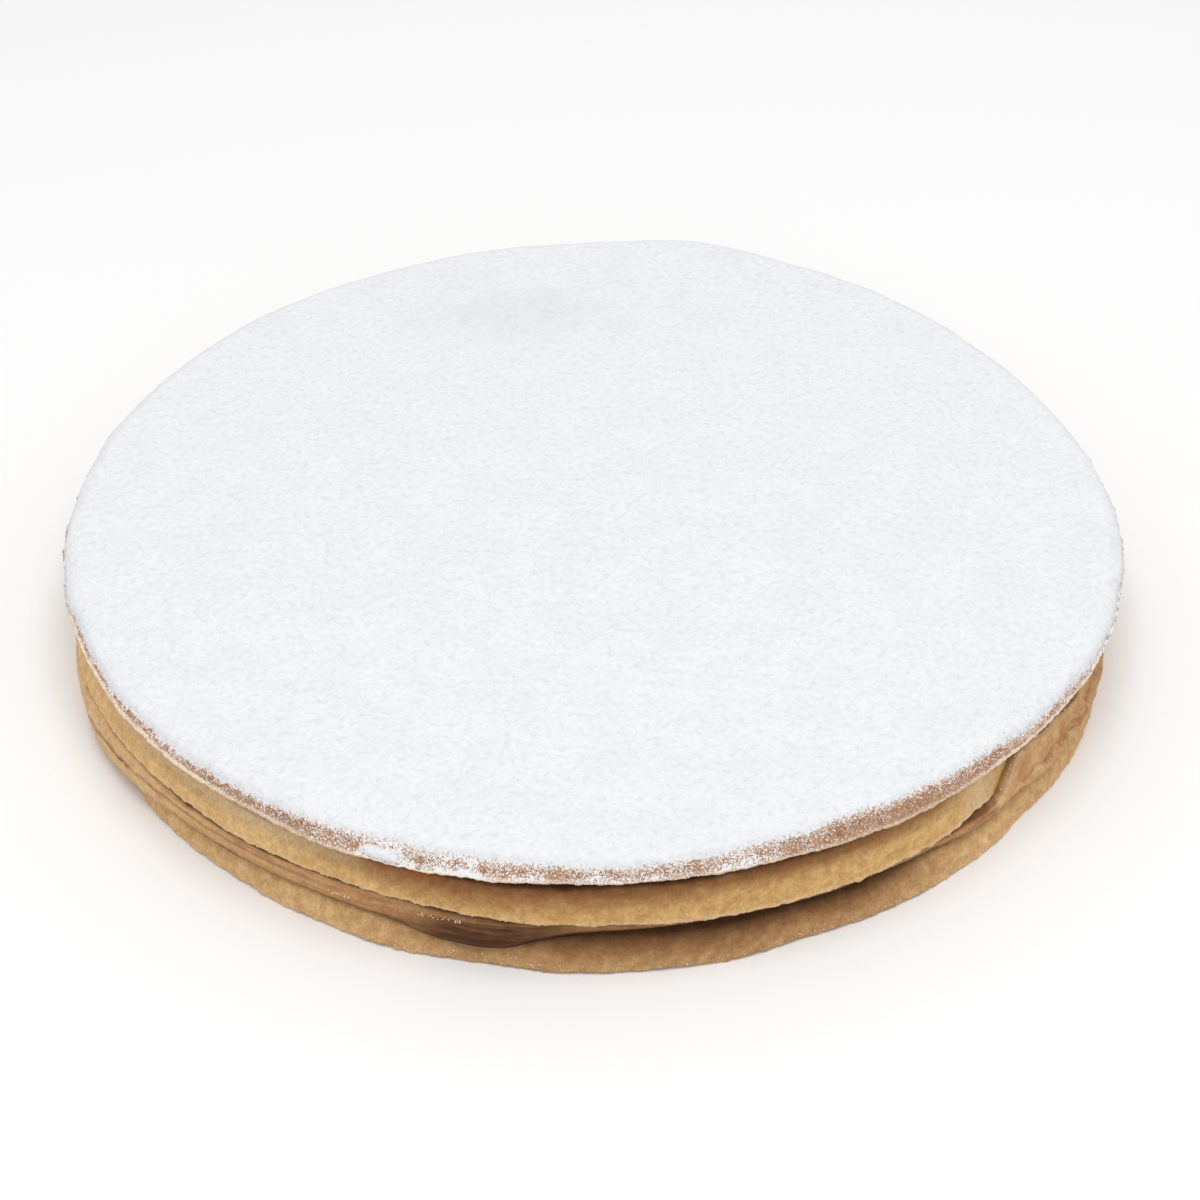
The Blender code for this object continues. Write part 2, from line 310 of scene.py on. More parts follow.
def newGroup(name, takes, gives):
    group = bpy.data.node_groups.new(name, "ShaderNodeTree")
    for socket in takes:
        kind = "NodeSocketVector" if socket == "Place" else "NodeSocketFloat"
        group.interface.new_socket(socket, in_out="INPUT", socket_type=kind)
    for socket in gives:
        group.interface.new_socket(socket, in_out="OUTPUT", socket_type="NodeSocketFloat")
    return group, group.nodes.new("NodeGroupInput").outputs, group.nodes.new("NodeGroupOutput").inputs


def crumbGroup():  # soft blotches, fine grain, and a height for the bump
    group, given, out = newGroup("bakedCrumb", ("Place", "Blotch Scale", "Grain Scale"),
                                 ("Blotches", "Grain", "Height"))
    blotch = noiseOf(group, given["Place"], given["Blotch Scale"], 4.0, 0.55)
    grain = noiseOf(group, given["Place"], given["Grain Scale"], 3.0, 0.6)
    cells = addNode(group, "ShaderNodeTexVoronoi", {"Vector": given["Place"],
                                                    "Scale": given["Grain Scale"]})
    rise = sums(group, "MULTIPLY", cells.outputs["Distance"], 0.4)
    join(group, out["Blotches"], ranged(group, blotch, 0.32, 0.68))
    join(group, out["Grain"], ranged(group, grain, 0.3, 0.7))
    join(group, out["Height"], sums(group, "ADD", grain, rise))
    return group


def dustGroup():  # how far a dusting covers the surface: more of it where Density is higher
    group, given, out = newGroup("dusting", ("Place", "Fineness", "Density"), ("Cover",))
    noise = noiseOf(group, given["Place"], given["Fineness"], 3.0, 0.7)
    level = addNode(group, "ShaderNodeMapRange", {"Value": given["Density"], "To Min": 0.72,
                                                 "To Max": 0.28}).outputs["Result"]
    above = sums(group, "SUBTRACT", noise, level)
    join(group, out["Cover"], ranged(group, above, -0.07, 0.07))
    return group


crumbEffect = crumbGroup()
dustEffect = dustGroup()


def newMaterial(name):
    material = bpy.data.materials.new(name)
    material.use_nodes = True
    tree = material.node_tree
    place = addNode(tree, "ShaderNodeTexCoord").outputs["Object"]
    return material, tree, tree.nodes["Principled BSDF"], place


def maskOf(tree, name):
    return addNode(tree, "ShaderNodeAttribute", attribute_name=name).outputs["Fac"]


def useGroup(tree, group, inputs):
    return addNode(tree, "ShaderNodeGroup", inputs, node_tree=group).outputs


def bumpOf(tree, height, strength, depth):
    return addNode(tree, "ShaderNodeBump", {"Height": height, "Strength": strength,
                                            "Distance": depth}).outputs["Normal"]


def biscuitMaterial(name, look):
    material, tree, shader, place = newMaterial(name)
    crumb = useGroup(tree, crumbEffect, {"Place": place, "Blotch Scale": look["blotchScale"],
                                         "Grain Scale": look["grainScale"]})
    colour = mixed(tree, crumb["Blotches"], look["deep"], look["gold"])
    # mixes in the crust's browning together with painted shade, toasting, pale edges with some painted
    # light, and painted shadow, in that order
    for mask in ("browningAndPaintedShade", "toasted", "edge", "paintedShade"):
        if mask in look:
            colour = mixed(tree, maskOf(tree, mask), colour, look[mask])
    colour = grained(tree, colour, crumb["Grain"], look["grainShow"])
    if "dust" in look:
        cover = useGroup(tree, dustEffect, {"Place": place, "Fineness": look["dustFineness"],
                                            "Density": maskOf(tree, "dusted")})["Cover"]
        colour = mixed(tree, cover, colour, look["dust"])
    join(tree, shader.inputs["Base Color"], colour)
    shader.inputs["Roughness"].default_value = look["roughness"]
    shader.inputs["Specular IOR Level"].default_value = 0.25
    join(tree, shader.inputs["Normal"], bumpOf(tree, crumb["Height"], look["bump"], 0.3 * mm))
    return material


# Top biscuit: a flat disc with a browned shoulder that slopes to a thin ragged lip

topBiscuit = {
    "shoulder": 5.2 * mm,
    "shoulderRows": 19,
    "flat": (17.0 * mm, 12.0 * mm, 8.5 * mm, 6.5 * mm),     # rows inside it, measured from the lip
    "underRoom": 1.6 * mm,      # the height over its underside up to which its rim is read
    "grain": 0.10 * mm,
    "uneven": 0.14 * mm,
    "ragged": 0.30 * mm,        # along the lip
    "brownAt": 1.9 * mm,        # inside the lip, where the shoulder is brownest
    "brownWide": 1.5 * mm,
    # amount, from, to and fade in degrees
    "whiteLip": ((1.0, -28.0, 194.0, 6.0),),            # where the sugar reaches the lip itself
    "leftSide": ((1.0, -178.0, -120.0, 6.0),),
    "lessDusted": ((0.45, -178.0, -120.0, 6.0), (0.65, -70.0, -8.0, 10.0)),
    "dustedLip": ((1.0, -113.5, -98.0, 3.0), (0.4, -98.0, -70.0, 5.0)),
    "dullEdge": ((0.45, -130.0, -113.5, 4.0), (0.5, -98.0, -49.0, 5.0)),
    "look": {
        "gold": (0.50, 0.305, 0.18, 1), "deep": (0.37, 0.20, 0.115, 1),
        "browningAndPaintedShade": (0.24, 0.11, 0.055, 1), "toasted": (0.36, 0.14, 0.045, 1),
        # the last colour on the next line is painted shadow under the lip
        "edge": (0.86, 0.68, 0.50, 1), "paintedShade": (0.10, 0.045, 0.02, 1),
        "dust": (0.88, 0.88, 0.89, 1),
        "blotchScale": 900.0, "grainScale": 2600.0, "dustFineness": 2200.0,
        "grainShow": 0.5, "roughness": 0.85, "bump": 0.5,
    },
}


def crustRows():  # radii and heights of its rows, how many are on top, and the radius of its lip
    tree = treeOf("top_biscuit")
    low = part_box("top_biscuit")[0].z
    levels = np.linspace(low + 0.3 * mm, low + topBiscuit["underRoom"], 5)
    rim = radiusAt(tree, *levels)
    insets = list(topBiscuit["flat"])
    insets += np.linspace(topBiscuit["shoulder"], 0.1 * mm, topBiscuit["shoulderRows"]).tolist()
    heights = [heightAt(tree, rim - inset, above=True) for inset in insets]
    lip = heights[-1]
    under = heightAt(tree, rim - 2.0 * mm, above=False)
    halfway = (lip + under) / 2 - 0.3 * mm
    edge = ((0.0, lip - 0.25 * mm), (0.1 * mm, lip - 0.5 * mm), (0.6 * mm, halfway),
            (1.6 * mm, under), (4.0 * mm, under), (12.0 * mm, under))
    radii = everyColumn([rim - inset for inset in insets] + [rim - inset for inset, height in edge])
    heights = everyColumn(heights + [height for inset, height in edge])
    return radii, heights, len(insets), everyColumn([rim])


def shapedCrust(points, normals, inset, upper):
    ragged = topBiscuit["ragged"] * (1.0 + 0.8 * whiteLip)
    depth = topBiscuit["grain"] * crumbly(points, 1.3 * mm, 11)
    depth += topBiscuit["uneven"] * lumps(points, 6.0 * mm, 15)
    depth += ragged * np.exp(-(inset / (0.9 * mm)) ** 2) * crumbly(points, 1.1 * mm, 17)
    depth *= np.where(upper, ramp(inset, 9.0 * mm, 6.0 * mm), ramp(inset, 6.0 * mm, 2.0 * mm))
    return points + normals * depth[..., None]


crustRadii, crustHeights, crustCount, topRim = crustRows()
whiteLip = stretches(topBiscuit["whiteLip"])
flatCrust = placed(crustRadii, crustHeights)
crustNormals = facing(flatCrust)
crustInset = topRim - crustRadii
isUpper = (np.arange(crustRadii.shape[1]) < crustCount)[None, :]
crust = shapedCrust(flatCrust, crustNormals, crustInset, isUpper)


def makeTopBiscuit():
    patches = crumbly(crust, 4.0 * mm, 51)
    fine = crumbly(crust, 1.5 * mm, 53)
    browner = np.exp(-((crustInset - topBiscuit["brownAt"]) / topBiscuit["brownWide"]) ** 2)
    browner = browner * isUpper * (1.0 - 0.6 * whiteLip)
    left = stretches(topBiscuit["leftSide"])
    powdered = 1.0 - stretches(topBiscuit["lessDusted"])
    inFront = stretches(topBiscuit["dustedLip"])
    bright = 1.0 - stretches(topBiscuit["dullEdge"])
    reach = 0.42 * mm + 0.18 * mm * left + 0.25 * mm * fine
    row = np.arange(crustRadii.shape[1])[None, :]
    aboveLip = ramp(row, crustCount + 3.5, crustCount + 1.5)
    overLip = ramp(crustInset, reach, 0.6 * reach)
    underLip = ramp(crustInset, 0.9 * mm, 0.3 * mm)
    onFlat = ramp(crustInset, 1.5 * mm, 4.0 * mm)
    masks = {
        "edge": bright * np.where(isUpper, overLip, underLip),
        # painted shadow on the underside of the lip
        "paintedShade": np.where(isUpper, 0.0, ramp(crustInset, 0.5 * mm, 1.4 * mm)),
        "browningAndPaintedShade": browner * (0.30 + 0.15 * left + 0.5 * fine),
        "toasted": browner * ramp(fine, 0.1, 0.7) * (0.25 + 0.1 * left),
        "dusted": isUpper * (0.38 + 0.35 * onFlat + 0.25 * patches) * powdered
                  + inFront * ramp(crustInset, 1.3 * mm, 0.5 * mm) * aboveLip * (0.18 + 0.35 * patches)
                  + whiteLip * aboveLip * (0.80 + 0.25 * patches),
    }
    material = biscuitMaterial("topBiscuit", topBiscuit["look"])
    piece = wrapped("topBiscuit", crust, masks, material)
    settle(piece, "top_biscuit")


makeTopBiscuit()


# Icing sugar: a flat drift on the biscuit that thins out over its shoulder

icingSugar = {
    "depth": 0.9 * mm,
    "fade": 2.0 * mm,           # distance over which it thins out towards its edge
    "patchy": 0.17 * mm,        # unevenness that lets the crust show through near the edge
    "teeth": 0.13 * mm,         # and that runs down the shoulder in streaks
    "ringGap": 0.9 * mm,        # spacing of the points on the flat
    "jitter": 0.2,              # and how far they stray, as a share of it
    "under": 0.25 * mm,         # how far its hidden side lies inside the crust
    "teethAt": 128.0 * mm,      # the radius at which the streaks of its edge are spaced
    "wavy": 0.16 * mm,          # its unevenness on the flat, from the widest to the finest
    "lumpy": 0.05 * mm,
    "clotted": 0.12 * mm,
    "powdery": 0.10 * mm,
    # how much further in its edge lies: amount, from, to and fade in degrees
    "setBack": ((0.70 * mm, -150.0, -114.0, 6.0), (0.3 * mm, -162.0, -150.0, 5.0),
                (0.3 * mm, -70.0, -50.0, 6.0), (-0.5 * mm, -46.0, -28.0, 6.0)),
    "notches": ((0.9 * mm, -116.5, 4.5), (0.5 * mm, -110.5, 3.0)),     # amount, direction and spread
    "overLip": 0.8 * mm,        # further out where it reaches the lip
    "streakAt": 0.4 * mm,       # a thin streak in front, inside the lip
    "streakWide": 0.55 * mm,
    "streak": ((1.0, -112.0, -98.0, 3.0), (0.55, -98.0, -76.0, 3.0)),
    "streakSpot": ((0.5, -82.0, 1.5),),     # amount, direction and spread
    "clumpAt": -110.9,          # a small clump of it on the shoulder
    "clumpWide": 2.0,
    "clumpHigh": 1.15 * mm,
    "bareRight": ((0.15, -60.0, -30.0, 12.0),),
    "greyPatchPlace": (-17.0 * mm, 87.0 * mm, 30.0 * mm, 13.0 * mm),    # centre and half size of a faint darker grey patch
    "look": {
        "colour": (0.848, 0.852, 0.865, 1),
        "shade": (0.76, 0.77, 0.80, 1),
        "paintedPitShade": (0.66, 0.67, 0.70, 1),    # painted shade of small pits, as grey specks at random places
        "crust": (0.54, 0.375, 0.265, 1),   # shows through in specks where the sugar is thin
        "blotchScale": 90.0, "grainScale": 700.0, "grainShow": 0.7,
        "pitFineness": 480.0, "pitDensity": 0.32, "pitShow": 0.42,
        "speckFineness": 1800.0, "roughness": 0.95, "bump": 0.8,
    },
    "grains": 30000,            # tried round the shoulder, and kept near the edge and the lip
    "grainSize": (0.09 * mm, 0.21 * mm),
    "grainsOnStreak": ((1.0, -115.0, -84.0, 3.0), (0.5, -84.0, -72.0, 3.0)),
    "grainColour": (0.90, 0.90, 0.91, 1),
}


def sugarEdge():  # how far inside the lip it ends
    tree = treeOf("icing_sugar")
    low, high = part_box("icing_sugar")
    levels = np.linspace(low.z, high.z - 0.3 * mm, 9)
    edge = topRim - everyColumn([radiusAt(tree, *levels)])
    edge = edge + spots(icingSugar["notches"]) + stretches(icingSugar["setBack"])
    return edge - icingSugar["overLip"] * whiteLip


def sugarDepth(points, inset, edge):
    along = np.broadcast_to(turns[:, None] * icingSugar["teethAt"], inset.shape)
    strip = np.stack([along, inset * 0.25, np.zeros_like(inset)], axis=-1)
    beyond = inset - edge
    depth = icingSugar["depth"] * ramp(beyond, 0.0, icingSugar["fade"])
    depth += 0.17 * mm * ramp(beyond, -1.2 * mm, 0.5 * mm) - 0.13 * mm
    depth -= 0.14 * mm * ramp(beyond, -0.6 * mm, -2.4 * mm)
    noise = icingSugar["patchy"] * crumbly(points, 0.95 * mm, 21)
    noise += icingSugar["teeth"] * crumbly(strip, 0.9 * mm, 27)
    return depth + noise * ramp(beyond, 3.0 * mm, 0.0)


def rolling(points):  # its own unevenness on the flat
    return (icingSugar["wavy"] * lumps(points, 42.0 * mm, 31)
            + icingSugar["lumpy"] * lumps(points, 9.0 * mm, 33)
            + icingSugar["clotted"] * crumbly(points, 2.6 * mm, 35)
            + icingSugar["powdery"] * lumps(points, 1.3 * mm, 38))


def sugarSkirt():  # its rows over the crust, sunk below it where the crust is bare
    base = crust[:, :crustCount]
    inset = crustInset[:, :crustCount]
    edge = sugarEdge()
    depth = sugarDepth(base, inset, edge)
    streak = stretches(icingSugar["streak"]) + spots(icingSugar["streakSpot"])
    streak = streak * (0.11 * mm + 0.40 * mm * crumbly(base, 1.6 * mm, 41))
    depth += streak * np.exp(-((inset - icingSugar["streakAt"]) / icingSugar["streakWide"]) ** 2)
    clump = np.exp(-(apart(icingSugar["clumpAt"]) / icingSugar["clumpWide"]) ** 4)
    clump = clump * np.exp(-((inset - 1.0 * mm) / (0.8 * mm)) ** 2)
    depth += clump * (icingSugar["clumpHigh"] + 0.38 * mm * crumbly(base, 1.2 * mm, 45))
    atLip = whiteLip * ramp(inset, 1.6 * mm, 0.5 * mm)
    depth += atLip * 0.20 * mm * crumbly(base, 1.2 * mm, 49)
    depth += rolling(base) * ramp(inset, 2.5 * mm, 6.0 * mm)
    over = base + crustNormals[:, :crustCount] * depth[..., None]
    hidden = [crustCount - 2, 6, 0]     # rows that its underside follows back to the axis
    below = crust[:, hidden] - crustNormals[:, hidden] * icingSugar["under"]
    thin = 0.55 * ramp(inset - edge, 1.5 * mm, -0.3 * mm) * (1.0 - clump) * (1.0 - 0.35 * whiteLip)
    thin += ramp(inset - edge, 10.0 * mm, 1.0 * mm) * stretches(icingSugar["bareRight"])
    thin += 0.18 * atLip
    return np.concatenate([over, below], axis=1), thin


def zipped(inner, outer):  # triangles between two rings of corners
    faces = []
    i = j = 0
    while i < len(inner) or j < len(outer):
        if i == len(inner) or (j < len(outer) and (j + 1) / len(outer) <= (i + 1) / len(inner)):
            faces.append((inner[i % len(inner)], outer[j], outer[(j + 1) % len(outer)]))
            j += 1
        else:
            faces.append((inner[i], outer[j % len(outer)], inner[(i + 1) % len(inner)]))
            i += 1
    return faces


def makeIcingSugar():
    skirt, thin = sugarSkirt()
    columns, rows = skirt.shape[:2]
    masks = {"thin": np.pad(thin, ((0, 0), (0, rows - thin.shape[1])))}
    faces, first, last = sideFaces(columns, rows)
    corners = [skirt.reshape(-1, 3)]
    count = columns * rows
    gap, jitter = icingSugar["ringGap"], icingSugar["jitter"]
    junction = np.hypot(skirt[:, 0, 0], skirt[:, 0, 1])
    sugarTop = crustHeights[:, 0].mean() + icingSugar["depth"]
    rings = round(junction.mean() / gap)
    draws = np.random.default_rng(5)
    outer = first.tolist()
    for ring in range(rings - 1, 0, -1):
        share = ring / rings
        number = max(6, round(math.tau * share * junction.mean() / gap))
        around = (np.arange(number) + 1.1 * draws.uniform(-jitter, jitter, number)) * math.tau / number
        reach = np.interp(around, turns, junction, period=math.tau) * share
        reach += draws.uniform(-jitter, jitter, number) * gap
        level = np.full(number, sugarTop)
        points = np.stack([np.cos(around) * reach, np.sin(around) * reach, level], axis=1)
        points[:, 2] += rolling(points)
        corners.append(points)
        inner = list(range(count, count + number))
        faces += zipped(inner, outer)
        outer = inner
        count += number
    underSugar = sugarTop - icingSugar["depth"] - icingSugar["under"]
    corners.append([[0.0, 0.0, sugarTop], [0.0, 0.0, underSugar]])
    faces += fan(np.array(outer), count, True) + fan(last, count + 1, False)
    corners = np.concatenate(corners)
    # a faint darker grey patch on the flat
    x, y, halfWide, halfDeep = icingSugar["greyPatchPlace"]
    greyPatch = np.exp(-((corners[:, 0] - x) / halfWide) ** 2 - ((corners[:, 1] - y) / halfDeep) ** 2)
    masks["greyPatch"] = greyPatch * (0.28 + 0.4 * ramp(crumbly(corners, 3.0 * mm, 47), -0.1, 0.6))
    return pieceFrom("icingSugar", corners, faces, masks, sugarMaterial())


def sugarMaterial():
    look = icingSugar["look"]
    material, tree, shader, place = newMaterial("icingSugar")
    crumb = useGroup(tree, crumbEffect, {"Place": place, "Blotch Scale": look["blotchScale"],
                                         "Grain Scale": look["grainScale"]})
    mottle = sums(tree, "MULTIPLY", crumb["Blotches"], 1.0 - look["grainShow"])
    mottle = sums(tree, "ADD", mottle, sums(tree, "MULTIPLY", crumb["Grain"], look["grainShow"]))
    colour = mixed(tree, mottle, look["shade"], look["colour"])
    # grey specks of painted pit shade, and a faint darker grey patch, in the same grey
    pits = useGroup(tree, dustEffect, {"Place": place, "Fineness": look["pitFineness"],
                                       "Density": look["pitDensity"]})["Cover"]
    darker = sums(tree, "MAXIMUM", sums(tree, "MULTIPLY", pits, look["pitShow"]), maskOf(tree, "greyPatch"))
    colour = mixed(tree, darker, colour, look["paintedPitShade"])
    bare = useGroup(tree, dustEffect, {"Place": place, "Fineness": look["speckFineness"],
                                       "Density": maskOf(tree, "thin")})["Cover"]
    colour = mixed(tree, bare, colour, look["crust"])
    join(tree, shader.inputs["Base Color"], colour)
    shader.inputs["Roughness"].default_value = look["roughness"]
    shader.inputs["Specular IOR Level"].default_value = 0.15
    join(tree, shader.inputs["Normal"], bumpOf(tree, crumb["Height"], look["bump"], 0.3 * mm))
    return material


def makeSugarGrains():  # loose on the shoulder, thickest just outside the edge and along the lip
    draws = np.random.default_rng(9)
    count = icingSugar["grains"]
    columns = draws.uniform(0.0, sweep["columns"] - 0.001, count)
    rows = draws.uniform(4.0, crustCount - 0.01, count)
    near = columns.astype(int)
    inset = np.interp(rows, np.arange(crustRadii.shape[1]), crustInset.mean(axis=0))
    beyond = inset - sugarEdge()[near, 0]
    streak = stretches(icingSugar["grainsOnStreak"])[near, 0]
    chances = 0.75 * np.exp(-((beyond + 0.4 * mm) / (0.7 * mm)) ** 2) + 0.3 * (beyond < 0.0)
    chances += 0.7 * streak * np.exp(-(inset / (0.9 * mm)) ** 2) + 0.1
    chances += 0.6 * whiteLip[near, 0] * np.exp(-(inset / (0.7 * mm)) ** 2)
    chances *= beyond < 0.8 * mm
    kept = draws.uniform(0.0, 1.0, count) < chances
    places = onSurface(crust, columns[kept], rows[kept])
    sizes = draws.uniform(*icingSugar["grainSize"], kept.sum())
    material = plainMaterial("sugarGrains", icingSugar["grainColour"])
    return looseBits("sugarGrains", places, sizes, 10, material)


settle(makeIcingSugar(), "icing_sugar")
settle(makeSugarGrains(), None)


# Middle biscuit: its side leans out a little towards a thin bright edge at its foot

middleBiscuit = {
    "rows": 30,
    "belly": 19.0 * mm,         # the height at which its outline is read
    "grain": 0.075 * mm,
    "uneven": 0.16 * mm,
    "ragged": 0.45 * mm,        # along its foot
    # amount, from, to and fade in degrees
    # painted shade and shadow are strongest in front and right under the top biscuit's lip
    "inFront": ((1.0, -112.0, -62.0, 12.0),),
    "atLeft": ((1.0, -190.0, -116.0, 8.0),),
    "underLip": ((1.0, -101.0, -76.0, 8.0),),
    # how wide and how far down the painted shade under the top biscuit's lip reaches
    "paintedShadeFront": ((1.0, -114.0, -50.0, 9.0),),
    "paintedShadeDepth": ((4.4 * mm, -114.0, -84.0, 8.0), (2.0 * mm, -84.0, -50.0, 8.0)),
    "dullFoot": ((0.6, -170.0, -84.0, 8.0), (0.35, -84.0, -50.0, 6.0)),
    # amount, direction and spread
    "brownSpots": ((1.0, -111.6, 1.3), (1.0, -107.5, 1.6)),
    # painted light where the smear meets this biscuit, lifting the shade there
    "paintedLightSpot": ((0.5, -47.5, 2.5),),
    "look": {
        "gold": (0.82, 0.53, 0.215, 1), "deep": (0.65, 0.38, 0.135, 1),
        # On the next line, the first colour is partly the crust's own tone and partly painted shade
        # under the lip and on the front. On the line after, the pale colour is the foot's and also
        # painted light, and the near-black one is painted shadow right under the lip and on the hidden
        # underside.
        "browningAndPaintedShade": (0.31, 0.13, 0.045, 1), "toasted": (0.45, 0.13, 0.03, 1),
        "edge": (0.84, 0.62, 0.40, 1), "paintedShade": (0.055, 0.02, 0.008, 1),
        "blotchScale": 420.0, "grainScale": 1300.0,
        "grainShow": 0.24, "roughness": 0.85, "bump": 0.35,
    },
}

bottomBiscuit = {
    "rows": 26,
    "belly": 4.0 * mm,
    "grain": 0.08 * mm,
    "uneven": 0.20 * mm,
    "ragged": 0.95 * mm,
    # painted shade is stronger in front and weaker on the right
    "inFront": ((1.0, -110.0, -56.0, 9.0),),      # amount, from, to and fade in degrees
    "lessPaintedShade": ((0.2, -64.0, -44.0, 6.0),),
    "look": {
        "gold": (0.81, 0.53, 0.255, 1), "deep": (0.65, 0.39, 0.17, 1),
        # The colour on the next line is partly the crust's own tone and partly painted shade in front
        # and towards the top; the near-black colour on the line after is painted shade under the middle
        # biscuit's foot.
        "browningAndPaintedShade": (0.27, 0.125, 0.045, 1),
        "edge": (0.84, 0.64, 0.42, 1), "paintedShade": (0.085, 0.04, 0.018, 1),
        "blotchScale": 420.0, "grainScale": 1300.0,
        "grainShow": 0.24, "roughness": 0.85, "bump": 0.35,
    },
}


def biscuitRows(node, made):  # radii and heights of its rows, and how far down its side they are
    tree = treeOf(node)
    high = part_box(node)[1].z
    rim = radiusAt(tree, made["belly"])
    foot = heightAt(tree, rim - 1.2 * mm, above=False)
    inner = heightAt(tree, rim - 10.0 * mm, above=False)
    start = high - 0.12 * mm
    shares = np.linspace(0.0, 1.0, made["rows"])
    levels = [start + (foot + 0.25 * mm - start) * share for share in shares]
    sides = [radiusAt(tree, level) for level in levels]
    low = sides[-1]
    radii = [rim - 14.0 * mm, rim - 9.0 * mm, sides[0] - 0.6 * mm] + sides
    heights = [high, high, high - 0.02 * mm] + levels
    radii += [low - 0.25 * mm, low - 0.9 * mm, rim - 4.0 * mm, rim - 14.0 * mm]
    heights += [foot + 0.02 * mm, foot, foot * 0.7 + inner * 0.3, inner]
    down = np.concatenate([np.zeros(3), shares, np.full(4, beneath)])
    return everyColumn(radii), everyColumn(heights), down


def shapedSide(made, points, down, seed):
    normals = facing(points)
    depth = made["grain"] * crumbly(points, 1.3 * mm, seed)
    depth += made["uneven"] * lumps(points, 7.0 * mm, seed + 4)
    depth += made["ragged"] * ramp(down, 0.86, 1.0) * crumbly(points, 1.7 * mm, seed + 7)
    depth *= ramp(down, 0.0, 0.12) * (down < beneath)
    return points + normals * depth[..., None]


def makeMiddleBiscuit():
    radii, heights, down = biscuitRows("middle_biscuit", middleBiscuit)
    points = shapedSide(middleBiscuit, placed(radii, heights), down, 61)
    patches = crumbly(points, 3.5 * mm, 71)
    fromTop = heights[:, :1] - points[..., 2] + 0.4 * mm * patches
    blotches = crumbly(points, 2.0 * mm, 73)
    # the front, where the colour is darkened as painted shade
    inFront = stretches(middleBiscuit["inFront"])
    shaded = stretches(middleBiscuit["underLip"])
    bright = 1.0 - stretches(middleBiscuit["dullFoot"])
    # painted shade under the top biscuit's lip, darker towards the lip and strongest in front
    paintedShadeReach = 4.6 * mm + stretches(middleBiscuit["paintedShadeDepth"])
    paintedShadeUnderLip = ramp(fromTop, paintedShadeReach, 1.5 * mm)
    paintedShadeUnderLip = paintedShadeUnderLip * (0.04 + 0.66 * stretches(middleBiscuit["paintedShadeFront"]))
    # painted light on the left, lifting the shade under the top biscuit's lip
    paintedLightUnderLip = stretches(middleBiscuit["atLeft"]) * (0.15 + 0.55 * ramp(fromTop, 5.0 * mm, 0.8 * mm))
    # painted shadow right under the lip, strongest in front
    paintedShadowUnderLip = ramp(fromTop, 2.0 * mm, 0.6 * mm) * (0.03 + 0.57 * inFront + 0.35 * shaded)
    masks = {
        # the pale foot, plus painted light under the lip on the left and beside the smear
        "edge": ramp(down, 0.84, 0.95) * (0.8 + 0.4 * patches) * (down < beneath) * bright
                + paintedLightUnderLip + spots(middleBiscuit["paintedLightSpot"]),
        # the crust's own tone with blotches, plus painted shade on the front and under the lip
        "browningAndPaintedShade": 0.10 + 0.15 * inFront + paintedShadeUnderLip + 0.16 * np.minimum(blotches, 0.4),
        # painted shadow under the lip and on the hidden underside
        "paintedShade": np.maximum(paintedShadowUnderLip, (down == beneath) * 0.9),
        "toasted": 0.8 * spots(middleBiscuit["brownSpots"]) * ramp(fromTop, 3.5 * mm, 1.2 * mm),
    }
    material = biscuitMaterial("middleBiscuit", middleBiscuit["look"])
    piece = wrapped("middleBiscuit", points, masks, material)
    settle(piece, "middle_biscuit")
    return points


def makeBottomBiscuit():
    radii, heights, down = biscuitRows("bottom_biscuit", bottomBiscuit)
    points = shapedSide(bottomBiscuit, placed(radii, heights), down, 81)
    points[..., 2] = np.maximum(points[..., 2], 0.0)
    patches = crumbly(points, 3.5 * mm, 91)
    height = points[..., 2] + 0.4 * mm * patches
    blotches = crumbly(points, 2.0 * mm, 93)
    inFront = stretches(bottomBiscuit["inFront"])
    # painted shade under the middle biscuit's foot, strongest in front and weakest on the right
    paintedShade = 0.05 + 0.55 * inFront - stretches(bottomBiscuit["lessPaintedShade"])
    masks = {
        "edge": (0.45 - 0.25 * inFront) * ramp(height, 1.6 * mm, 0.3 * mm) * (down < beneath),
        # the crust's own tone with blotches, plus painted shade on the front and darker towards the top,
        # under the middle biscuit
        "browningAndPaintedShade": 0.12 + 0.44 * inFront + (0.08 + 0.32 * inFront) * ramp(height, 2.0 * mm, 6.5 * mm)
                   + 0.20 * np.minimum(blotches, 0.4),
        "paintedShade": paintedShade * ramp(height, 5.2 * mm, 8.0 * mm),
    }
    material = biscuitMaterial("bottomBiscuit", bottomBiscuit["look"])
    piece = wrapped("bottomBiscuit", points, masks, material)
    settle(piece, "bottom_biscuit")
    return points


middlePoints = makeMiddleBiscuit()
bottomPoints = makeBottomBiscuit()


# Dulce de leche

